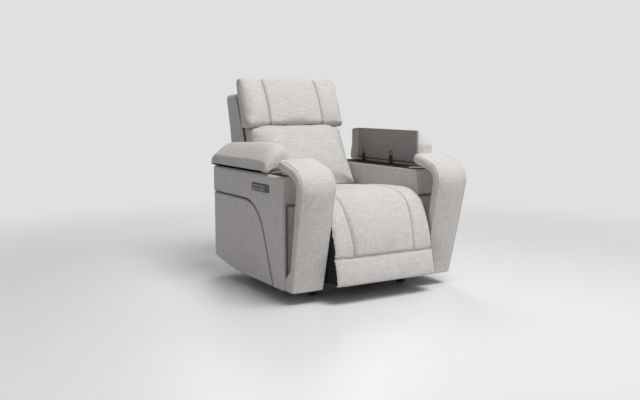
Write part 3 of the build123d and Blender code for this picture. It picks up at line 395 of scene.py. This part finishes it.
# Materials by the slots of the record
MATERIALS = {
    # The last colour of each linen is the painted shade in its seams
    "upholstery": linen("linen_cover", (0.70, 0.675, 0.65), (0.47, 0.445, 0.425), (0.10, 0.088, 0.08)),
    "lid_lining": linen("grey_lining_cloth", (0.37, 0.35, 0.34), (0.25, 0.24, 0.235), (0.06, 0.06, 0.06)),
    "lining": felted("black_lining", (0.025, 0.025, 0.026), (0.008, 0.008, 0.008)),
    "wood": plywood("birch_ply", (0.66, 0.50, 0.33), (0.40, 0.26, 0.14)),
    "black_metal": coated_metal("black_coated_steel", (0.018, 0.018, 0.019), 0.42),
    "bolt_steel": bright_steel("plated_steel", (0.58, 0.58, 0.60), 0.3),
    "cup_metal": bright_steel("satin_cup_steel", (0.74, 0.74, 0.75), 0.24),
    "tub_plastic": moulded("tub_plastic", (0.03, 0.03, 0.032), 0.5),
    "black_plastic": moulded("black_plastic", (0.022, 0.022, 0.022), 0.45),
    "control_plastic": moulded("control_plastic", (0.10, 0.093, 0.088), 0.42),
    "key_plastic": moulded("key_plastic", (0.26, 0.245, 0.235), 0.38),
}
MATERIALS["arm_frame"] = MATERIALS["upholstery"]


def clothe(piece, slot):
    """Gives a piece the material of a slot and nothing else."""
    piece.data.materials.clear()
    piece.data.materials.append(MATERIALS[slot])


for entry in frame["record"]["subparts"]:
    clothe(nodes[entry["node"]], entry["material_slot"])


def only(piece):
    """Selects one piece alone and makes it the active one."""
    bpy.ops.object.select_all(action="DESELECT")
    piece.select_set(True)
    bpy.context.view_layer.objects.active = piece


def places(piece):
    """Corner points of a mesh as an array."""
    flat = np.zeros(len(piece.data.vertices) * 3)
    piece.data.vertices.foreach_get("co", flat)
    return flat.reshape(-1, 3)


def normals(piece):
    """Directions that the corner points of a mesh face, as an array."""
    flat = np.zeros(len(piece.data.vertices) * 3)
    piece.data.vertices.foreach_get("normal", flat)
    return flat.reshape(-1, 3)


def put(piece, points):
    """Moves the corner points of a mesh to these places."""
    piece.data.vertices.foreach_set("co", points.ravel())
    piece.data.update()


def apply(piece, kind, **settings):
    """Adds a modifier with these settings and applies it."""
    only(piece)
    modifier = piece.modifiers.new(kind.title(), kind)
    for key, value in settings.items():
        setattr(modifier, key, value)
    bpy.ops.object.modifier_apply(modifier=modifier.name)


def smooth(piece, rounds, group=""):
    """Rounds a mesh off, all over or by the weights of a vertex group."""
    apply(piece, "SMOOTH", factor=0.5, iterations=rounds, vertex_group=group)


def twin(name, source):
    """New piece with a copy of a mesh."""
    piece = bpy.data.objects.new(name, source.data.copy())
    bpy.context.scene.collection.objects.link(piece)
    return piece


def merge(piece):
    """Joins the loose triangles of a copied CAD mesh."""
    only(piece)
    bpy.ops.object.mode_set(mode="EDIT")
    bpy.ops.mesh.select_all(action="SELECT")
    bpy.ops.mesh.remove_doubles(threshold=MERGE_DISTANCE)
    bpy.ops.object.mode_set(mode="OBJECT")


def copied(name, sources, voxel, rounds):
    """One closed, rounded skin over copies of CAD nodes."""
    copies = [twin(name, nodes[source]) for source in sources]
    only(copies[0])
    for copy in copies:
        copy.select_set(True)
    if len(copies) > 1:
        bpy.ops.object.join()
    piece = bpy.context.view_layer.objects.active
    merge(piece)
    apply(piece, "REMESH", mode="VOXEL", voxel_size=voxel, use_smooth_shade=True)
    smooth(piece, rounds)
    return piece


def puff(piece, pinned, cap):
    """Swells a cover by cloth pressure, held where pinned, with no point moving further than the cap."""
    start = places(piece)
    group = piece.vertex_groups.new(name="held")
    group.add([int(index) for index in np.nonzero(pinned)[0]], 1.0, "REPLACE")
    only(piece)
    cloth = piece.modifiers.new("Cloth", "CLOTH")
    cloth.settings.quality = CLOTH_QUALITY
    cloth.settings.mass = CLOTH_MASS
    for kind, stiffness in CLOTH_STIFFNESS.items():
        setattr(cloth.settings, f"{kind}_stiffness", stiffness)
    cloth.settings.use_pressure = True
    cloth.settings.uniform_pressure_force = CLOTH_PRESSURE
    cloth.settings.effector_weights.gravity = 0
    cloth.settings.vertex_group_mass = "held"
    cloth.collision_settings.use_collision = False
    cloth.point_cache.frame_start = 1
    cloth.point_cache.frame_end = CLOTH_FRAMES
    for step in range(1, CLOTH_FRAMES + 1):
        bpy.context.scene.frame_set(step)
    bpy.ops.object.modifier_apply(modifier="Cloth")
    bpy.context.scene.frame_set(1)
    move = places(piece) - start
    length = np.linalg.norm(move, axis=1, keepdims=True)
    put(piece, start + move * np.minimum(1, cap / np.maximum(length, TINY)))
    piece.vertex_groups.clear()


def seam_shade(piece):
    """How much painted shade a seam puts on each corner point: nought all over until something is sewn."""
    return piece.data.attributes.get("seam") or piece.data.attributes.new("seam", "FLOAT", "POINT")


def sew(piece, distance, depth, width, painted_shade):
    """Draws a seam in: a groove along the line where distance is nought, with painted shade in its bottom."""
    groove = np.exp(-(distance / width) ** 2)
    put(piece, places(piece) - normals(piece) * (depth * groove)[:, None])
    shade = painted_shade * np.exp(-(distance / (0.5 * width)) ** 2)
    seam = seam_shade(piece)
    before = np.zeros(len(shade))
    seam.data.foreach_get("value", before)
    seam.data.foreach_set("value", np.maximum(before, shade).astype(np.float32))


def shade_joins(piece, neighbours):
    """Paints shade on a cover where it is drawn in against its neighbours."""
    points = places(piece)
    nearest = np.full(len(points), np.inf)
    for name in neighbours:
        mesh = nodes[name].data
        faces = [face.vertices for face in mesh.polygons]
        skin = BVHTree.FromPolygons([corner.co for corner in mesh.vertices], faces)
        for index, point in enumerate(points):
            apart = skin.find_nearest(point, 3 * JOIN_REACH)[3]
            if apart is not None:
                nearest[index] = min(nearest[index], apart)
    sew(piece, nearest, *GROOVES["join"])


def dress(piece, replaced, body=None):
    """Finishes a cover: smooth shading, cloth, and the body and CAD nodes that it belongs to."""
    only(piece)
    bpy.ops.object.shade_smooth()
    seam_shade(piece)
    clothe(piece, "upholstery")
    if body:
        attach(piece, body)
    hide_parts(*replaced)


def black_sheet(name, cover, chosen, body):
    """Thin black sheet in the lining material laid over the chosen corner points of a cover."""
    piece = twin(name, cover)
    only(piece)
    bpy.ops.object.mode_set(mode="EDIT")
    bpy.ops.mesh.select_mode(type="VERT")
    bpy.ops.mesh.select_all(action="DESELECT")
    bpy.ops.object.mode_set(mode="OBJECT")
    piece.data.vertices.foreach_set("select", ~chosen)
    bpy.ops.object.mode_set(mode="EDIT")
    bpy.ops.mesh.delete(type="VERT")
    bpy.ops.object.mode_set(mode="OBJECT")
    smooth(piece, LINER_ROUNDS)
    apply(piece, "SOLIDIFY", thickness=LINER_THICK, offset=1.0)
    clothe(piece, "lining")
    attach(piece, body)


def wrapped(board, body):
    """Board covered all round in black lining."""
    piece = twin(f"{board}_lining", nodes[board])
    merge(piece)
    clothe(piece, "lining")
    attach(piece, body)
    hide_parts(board)


def between(value, low, high):
    """Rises smoothly from 0 at low to 1 at high."""
    share = np.clip((value - low) / (high - low), 0, 1)
    return share * share * (3 - 2 * share)


def seat_cover():
    """Seat and footrest under one cover, which bends at the front of the seat."""
    sources = ("seat_cushion", "footrest_upper_pad", "footrest_lower_pad")
    piece = copied("seat_cover", sources, VOXEL, PAD_ROUNDS)
    seam_front, seam_height = CROSS_SEAM
    fade_start, fade_end = (seam_front + depth for depth in CROSS_SEAM_FADE)

    def lengthwise(points):
        """Distance from the two lengthwise seams, which end at the cross seam."""
        climb = between(points[:, 2], seam_height, SEAT_SEAM_TOP_HEIGHT)
        seam = SEAT_SEAM_LOW + (SEAT_SEAM_TOP - SEAT_SEAM_LOW) * climb
        below = np.maximum(0, seam_height - points[:, 2])
        return np.hypot(np.abs(points[:, 0]) - seam, below)

    def crosswise(points):
        """Distance from the cross seam, made large behind the pad's face."""
        return np.abs(points[:, 2] - seam_height) + between(points[:, 1], fade_start, fade_end)

    points = places(piece)
    facing = normals(piece)
    hidden = (facing[:, 2] < UNDERSIDE_FACING) | (facing[:, 1] > REAR_FACING)
    held = hidden | (lengthwise(points) < PIN_REACH) | (crosswise(points) < 2 * PIN_REACH)
    puff(piece, held, SWELL["seat"])
    sew(piece, lengthwise(places(piece)), *GROOVES["seat"])
    sew(piece, crosswise(places(piece)), *GROOVES["cross"])
    dress(piece, sources)
    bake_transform(piece)
    # Black sheets in the lining material over the lower sides of the footrest
    for side, sign in SIDES:
        sideways = normals(piece)[:, 0] * sign > FOOTREST_BLACK_FACING
        low = (places(piece)[:, 2] < FOOTREST_BLACK_TOP) & sideways
        black_sheet(f"{side}_footrest_black_side", piece, low, "footrest")


def back_cover():
    """Back cushion with rounded sides, kept narrow enough to pass between the lids."""
    piece = copied("back_cover", ("back_cushion",), VOXEL, PAD_ROUNDS)
    sides = piece.vertex_groups.new(name="sides")
    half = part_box("back_cushion")[1].x
    points = places(piece)
    thick = BACK_PLANE[0] + BACK_SLOPE * (points[:, 2] - BACK_PLANE[1]) - points[:, 1]
    shares = between(np.abs(points[:, 0]), BACK_ROUND_START, half) * between(thick, *BACK_ROUND_THICK)
    shares *= between(points[:, 2], BACK_ROUND_LOW, BACK_RISE_START)
    for index, share in enumerate(shares):
        sides.add([index], float(share), "REPLACE")
    smooth(piece, BACK_ROUNDS, "sides")
    points = places(piece)
    points[:, 0] *= BACK_FULL_HALF / np.abs(points[:, 0]).max()
    inner = 1 - between(np.abs(points[:, 0]), HEAD_SEAM, half)
    points[:, 2] += BACK_RISE * inner * between(points[:, 2], BACK_RISE_START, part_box("back_cushion")[1].z)
    put(piece, points)
    piece.vertex_groups.clear()
    puff(piece, normals(piece)[:, 1] > BACK_HELD_FACING, SWELL["back"])
    points = places(piece)
    points[:, 0] = np.clip(points[:, 0], -BACK_FULL_HALF, BACK_FULL_HALF)
    put(piece, points)
    dress(piece, ("back_cushion",), "back")


def headrest_cover():
    """Headrest with its two upright seams and a lip that hangs over the top of the back."""
    piece = copied("headrest_cover", ("headrest_pad",), VOXEL, PAD_ROUNDS)
    near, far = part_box("headrest_pad")
    points = places(piece)
    low = 1 - between(points[:, 2], near.z, near.z + HEAD_LIP_REACH)
    ahead = 1 - between(points[:, 1], near.y, near.y + HEAD_LIP_REACH)
    outer = between(np.abs(points[:, 0]), HEAD_SEAM, far.x)
    points[:, 1] -= HEAD_LIP * low * ahead
    points[:, 2] -= low * (HEAD_DROP + HEAD_SIDE_DROP * outer)
    points[:, 0] *= HEAD_WIDENING
    put(piece, points)

    def upright(points):
        """Distance from the two upright seams."""
        return np.abs(np.abs(points[:, 0]) - HEAD_SEAM)

    facing = normals(piece)
    held = (facing[:, 1] > REAR_FACING) | (upright(places(piece)) < PIN_REACH)
    puff(piece, held, SWELL["headrest"])
    sew(piece, upright(places(piece)), *GROOVES["headrest"])
    dress(piece, ("headrest_pad",), "headrest")


def shell_cover():
    """Padded shell behind the back, wider and fuller towards its top."""
    piece = copied("back_shell_cover", ("back_shell",), PANEL_VOXEL, PAD_ROUNDS)
    points = places(piece)
    low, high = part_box("back_shell")
    points[:, 0] *= 1 + SHELL_WIDENING * between(points[:, 2], LID_CLEAR_HEIGHT, high.z)
    put(piece, points + between(points[:, 2], low.z, high.z)[:, None] * np.array(SHELL_FULLNESS))
    dress(piece, ("back_shell",), "back")


def lid_cover(side, sign):
    """Crowned pad that wraps over its board, arched at the front and drawn in along its side crease."""
    node = f"{side}_lid_pad"
    piece = copied(f"{side}_lid_cover", (node,), VOXEL, SMALL_PAD_ROUNDS)
    closed = side == "right"
    across, up = (0, 2) if closed else (2, 0)
    inner_way = -sign if closed else 1
    hinge = (sign * HINGE_OUT, 0, HINGE_HEIGHT)
    front, rear = (corner.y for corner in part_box(node))

    def heights(points):
        """Heights above the hinge line, as if the lid were shut."""
        return points[:, up] - hinge[up]

    def along(points):
        """Shares of the pad's length, from 0 at its front to 1 at its rear."""
        return (points[:, 1] - front) / (rear - front)

    def crease(points, flank, rises):
        """Distance from the crease between flank and crown."""
        return np.abs(heights(points) - LID_SEAT - flank * np.interp(along(points), LID_ALONG, rises))

    def inward(points):
        """Distance across the lid from its hinge line."""
        return (points[:, across] - hinge[across]) * inner_way

    def filled(points):
        """Heights with the pad filled out: its crease lower, its crown higher and fuller to the front."""
        plain = np.interp(along(points), LID_ALONG, LID_RISE)
        full = np.interp(along(points), LID_ALONG, LID_FULL)
        height = heights(points) - LID_SEAT
        share = (height - LID_FLANK * plain) / ((LID_CROWN - LID_FLANK) * plain)
        eased = np.clip(share, 0, None) ** LID_EASE
        upper = (LID_CREASE + eased * (LID_FULL_CROWN - LID_CREASE)) * full
        lower = height * LID_CREASE * full / (LID_FLANK * plain)
        return LID_SEAT + np.where(share > 0, upper, lower)

    def shaped(points, facing):
        """Places with the pad filled out, flared over its board, arched in front and its nose rounded."""
        height = heights(points) - LID_SEAT
        rim = between(facing[:, up], *LID_RIM_FACING)
        skirt = rim * (1 - between(height, 0, LID_SKIRT))
        lateral = facing.copy()
        lateral[:, up] = 0
        flare = LID_WRAP * (1 - between(height, LID_SKIRT, 2 * LID_SKIRT))
        flare *= 1 - between(inward(points), 0, LID_MIDDLE)
        moved = points + lateral * flare[:, None]
        middle = 1 - ((inward(points) - LID_MIDDLE) / LID_HALF) ** 2
        arch = LID_ARCH * np.clip(middle, 0, 1) * (1 - between(points[:, 1], front, front + LID_ARCH_REACH))
        moved[:, up] = hinge[up] + filled(points) + skirt * (arch - LID_DROP)
        corner = between(inward(points), LID_MIDDLE, LID_INNER)
        moved[:, 1] += LID_NOSE * corner * (1 - between(along(points), 0, LID_NOSE_REACH))
        return tucked(moved)

    def tucked(points):
        """Keeps the hinge side's lower edge clear of the arm, both shut and swung open."""
        kept = points.copy()
        height = np.maximum(heights(points), -LID_TUCK)
        room = np.interp(height, (LID_TUCK / 2, 2 * LID_TUCK), (LID_TUCK, 2 * LID_TUCK))
        kept[:, up] = hinge[up] + height
        kept[:, across] += np.maximum(-room - inward(points), 0) * inner_way
        return kept

    creased = crease(places(piece), LID_FLANK, LID_RISE) < PIN_REACH
    puff(piece, (normals(piece)[:, up] < LID_HELD_FACING) | creased, SWELL["lid"])
    put(piece, shaped(places(piece), normals(piece)))
    sew(piece, crease(places(piece), LID_CREASE, LID_FULL), *GROOVES["lid"])
    dress(piece, (node,), f"{side}_lid")


def hook_path():
    """Side view of the band's outer face, from its foot over the knee to its tip, as depth and height."""
    foot, knee, tip = (np.array(point) for point in (HOOK_FOOT, HOOK_KNEE, HOOK_TIP))
    rising = (knee - foot) / np.linalg.norm(knee - foot)
    closing = (tip - knee) / np.linalg.norm(tip - knee)
    turn = math.acos(float(rising @ closing))
    cut = HOOK_BEND * math.tan(turn / 2)
    first = knee - rising * cut
    inward = np.array((rising[1], -rising[0]))
    centre = first + inward * HOOK_BEND
    radius = HOOK_BEND + HOOK_THICK / 2
    start = math.atan2(-inward[1], -inward[0])
    angles = [start - turn * step / BEND_STEPS for step in range(BEND_STEPS + 1)]
    arc = [centre + radius * np.array((math.cos(angle), math.sin(angle))) for angle in angles]
    low = foot - inward * HOOK_THICK / 2
    end = tip + np.array((-closing[1], closing[0])) * HOOK_THICK / 2
    lower_run = [low + (arc[0] - low) * step / LOWER_STEPS for step in range(LOWER_STEPS)]
    upper_run = [arc[-1] + (end - arc[-1]) * step / UPPER_STEPS for step in range(1, UPPER_STEPS + 1)]
    return lower_run + arc + upper_run


def welt(name, cover, route, body):
    """Piped edge: a thin cloth-covered cord laid along a route on a cover."""
    curve = bpy.data.curves.new(name, "CURVE")
    curve.dimensions = "3D"
    curve.bevel_depth = WELT_RADIUS
    curve.bevel_resolution = 3
    curve.use_fill_caps = True
    spline = curve.splines.new("NURBS")
    spline.points.add(len(route) - 1)
    for knot, point in zip(spline.points, route):
        knot.co = (*cover.closest_point_on_mesh(point)[1], 1)
    spline.order_u = 3
    spline.use_endpoint_u = True
    piece = bpy.data.objects.new(name, curve)
    bpy.context.scene.collection.objects.link(piece)
    only(piece)
    bpy.ops.object.convert(target="MESH")
    piece = bpy.context.object
    bpy.ops.object.shade_smooth()
    seam_shade(piece)
    clothe(piece, "upholstery")
    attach(piece, body)


def hook_cover(side, sign):
    """Padded band in front of an arm, rounder across its face and wider towards its top, with piped edges."""
    node = f"{side}_hook_band"
    piece = copied(f"{side}_hook_cover", (node,), VOXEL, SMALL_PAD_ROUNDS)
    low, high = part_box(node)
    points = places(piece)
    edge = np.minimum(np.abs(points[:, 0] - low.x), np.abs(points[:, 0] - high.x))
    puff(piece, (points[:, 2] < HOOK_HELD_HEIGHT) | (edge < PIN_REACH), SWELL["hook"])
    points = places(piece)
    facing = normals(piece) * HOOK_SWELL_SHARES
    side_share = sign * (2 * points[:, 0] - low.x - high.x) / (high.x - low.x)
    rise = np.interp(points[:, 2], (low.z, high.z), (HOOK_FOOT_SWELL, HOOK_SWELL))
    outward = between(facing[:, 2] - facing[:, 1], 0, HOOK_SWELL_FACING)
    points += facing * (rise * outward * np.clip(1 - side_share ** 2, 0, 1))[:, None]
    spread = np.where(side_share > 0, HOOK_SPREAD["outer"], HOOK_SPREAD["inner"])
    points[:, 0] += sign * spread * side_share * (points[:, 2] - HOOK_MIDDLE_HEIGHT) / HOOK_MIDDLE_HEIGHT
    put(piece, points)
    dress(piece, (node,), "base")
    inner, outer = sorted((low.x, high.x), key=abs)
    for edge, x in (("inner", inner + sign * WELT_INSET), ("outer", outer - sign * WELT_INSET)):
        route = [Vector((x, ARM_FRONT + depth, height)) for depth, height in hook_path()]
        welt(f"{side}_hook_{edge}_welt", piece, route, "base")


def panel_cover(side, part):
    """One panel of an arm's sides and front, with painted shade where it is drawn in against the others."""
    node = f"{side}_{part}"
    piece = copied(f"{node}_cover", (node,), PANEL_VOXEL, PANEL_ROUNDS)
    shade_joins(piece, [f"{side}_{other}" for other in PANELS if other != part])
    dress(piece, (node,), "base")


def frame_cover(side):
    """Cloth over the body of an arm, with a black lining on the deck under the lid."""
    node = f"{side}_arm_frame"
    piece = copied(f"{node}_cover", (node,), PANEL_VOXEL, FRAME_ROUNDS)
    dress(piece, (node,), "base")
    deck = (places(piece)[:, 2] > DECK_LEVEL) & (normals(piece)[:, 2] > DECK_FACING)
    black_sheet(f"{side}_deck_liner", piece, deck, "base")


# Covers and linings
seat_cover()
back_cover()
headrest_cover()
shell_cover()
wrapped("back_board", "back")
wrapped("footrest_board", "footrest")
for side, sign in SIDES:
    lid_cover(side, sign)
    hook_cover(side, sign)
    for part in PANELS:
        panel_cover(side, part)
    frame_cover(side)


# Studio: a pale floor that fades into a pale backdrop, soft lamps and the camera
def studio_floor():
    """Pale floor: lit and shadowed near the chair, the backdrop's plain colour further off."""
    bpy.ops.object.select_all(action="DESELECT")
    bpy.ops.mesh.primitive_plane_add(size=2 * FLOOR_HALF, location=(0, 0, 0))
    floor = bpy.context.object
    floor.name = "studio_floor"
    finish = Finish("studio_floor")
    haze = finish.noise(scale=0.6, detail=1.0)
    finish.set(Base_Color=finish.mix(haze, tinted(FLOOR_COLOUR, FLOOR_HAZE), FLOOR_COLOUR), Roughness=0.4)
    reach = finish.node("VectorMath", {"operation": "LENGTH"}, {0: finish.place}, "Value")
    limits = {"Value": reach, "From Min": FADE_START, "From Max": FADE_END}
    fade = finish.node("MapRange", {"interpolation_type": "SMOOTHSTEP"}, limits)
    glow = finish.node("Emission", {}, {"Color": BACKDROP_COLOUR, "Strength": 1.0})
    seen = finish.node("LightPath", {}, {}, "Is Camera Ray")
    lit = Value(finish, finish.shader.outputs[0])
    mixed = finish.node("MixShader", {}, {0: fade * seen, 1: lit, 2: glow})
    finish.feed(finish.tree.nodes["Material Output"].inputs["Surface"], mixed)
    floor.data.materials.append(finish.material)


def area_lamp(name, place, aim, size, power):
    """Round soft lamp at a place, turned towards its aim."""
    lamp = bpy.data.lights.new(name, "AREA")
    lamp.shape = "DISK"
    lamp.size = size
    lamp.energy = power
    holder = bpy.data.objects.new(name, lamp)
    holder.location = place
    holder.rotation_euler = (Vector(aim) - Vector(place)).to_track_quat("-Z", "Y").to_euler()
    bpy.context.scene.collection.objects.link(holder)


def pale_room():
    """Pale world: a soft light on the object, and the backdrop's plain colour to the camera."""
    world = bpy.data.worlds.new("pale_room")
    bpy.context.scene.world = world
    world.use_nodes = True
    graph = Graph(world.node_tree)
    light = graph.tree.nodes["Background"]
    graph.feed(light.inputs["Color"], FLOOR_COLOUR)
    graph.feed(light.inputs["Strength"], ROOM_STRENGTH)
    backdrop = graph.node("Background", {}, {"Color": BACKDROP_COLOUR})
    seen = graph.node("LightPath", {}, {}, "Is Camera Ray")
    mixed = graph.node("MixShader", {}, {0: seen, 1: Value(graph, light.outputs[0]), 2: backdrop})
    graph.feed(graph.tree.nodes["World Output"].inputs["Surface"], mixed)


def camera():
    """Camera at the photograph's view."""
    lens = bpy.data.cameras.new("camera")
    lens.lens = CAMERA_LENS
    lens.sensor_width = CAMERA_SENSOR
    holder = bpy.data.objects.new("camera", lens)
    holder.location = CAMERA_PLACE
    holder.rotation_euler = (math.radians(90 - CAMERA_PITCH), 0, math.radians(-CAMERA_YAW))
    bpy.context.scene.collection.objects.link(holder)
    bpy.context.scene.camera = holder


studio_floor()
for lamp_name, lamp_settings in LAMPS.items():
    area_lamp(lamp_name, *lamp_settings)
pale_room()
camera()
bpy.context.scene.view_settings.view_transform = "Standard"
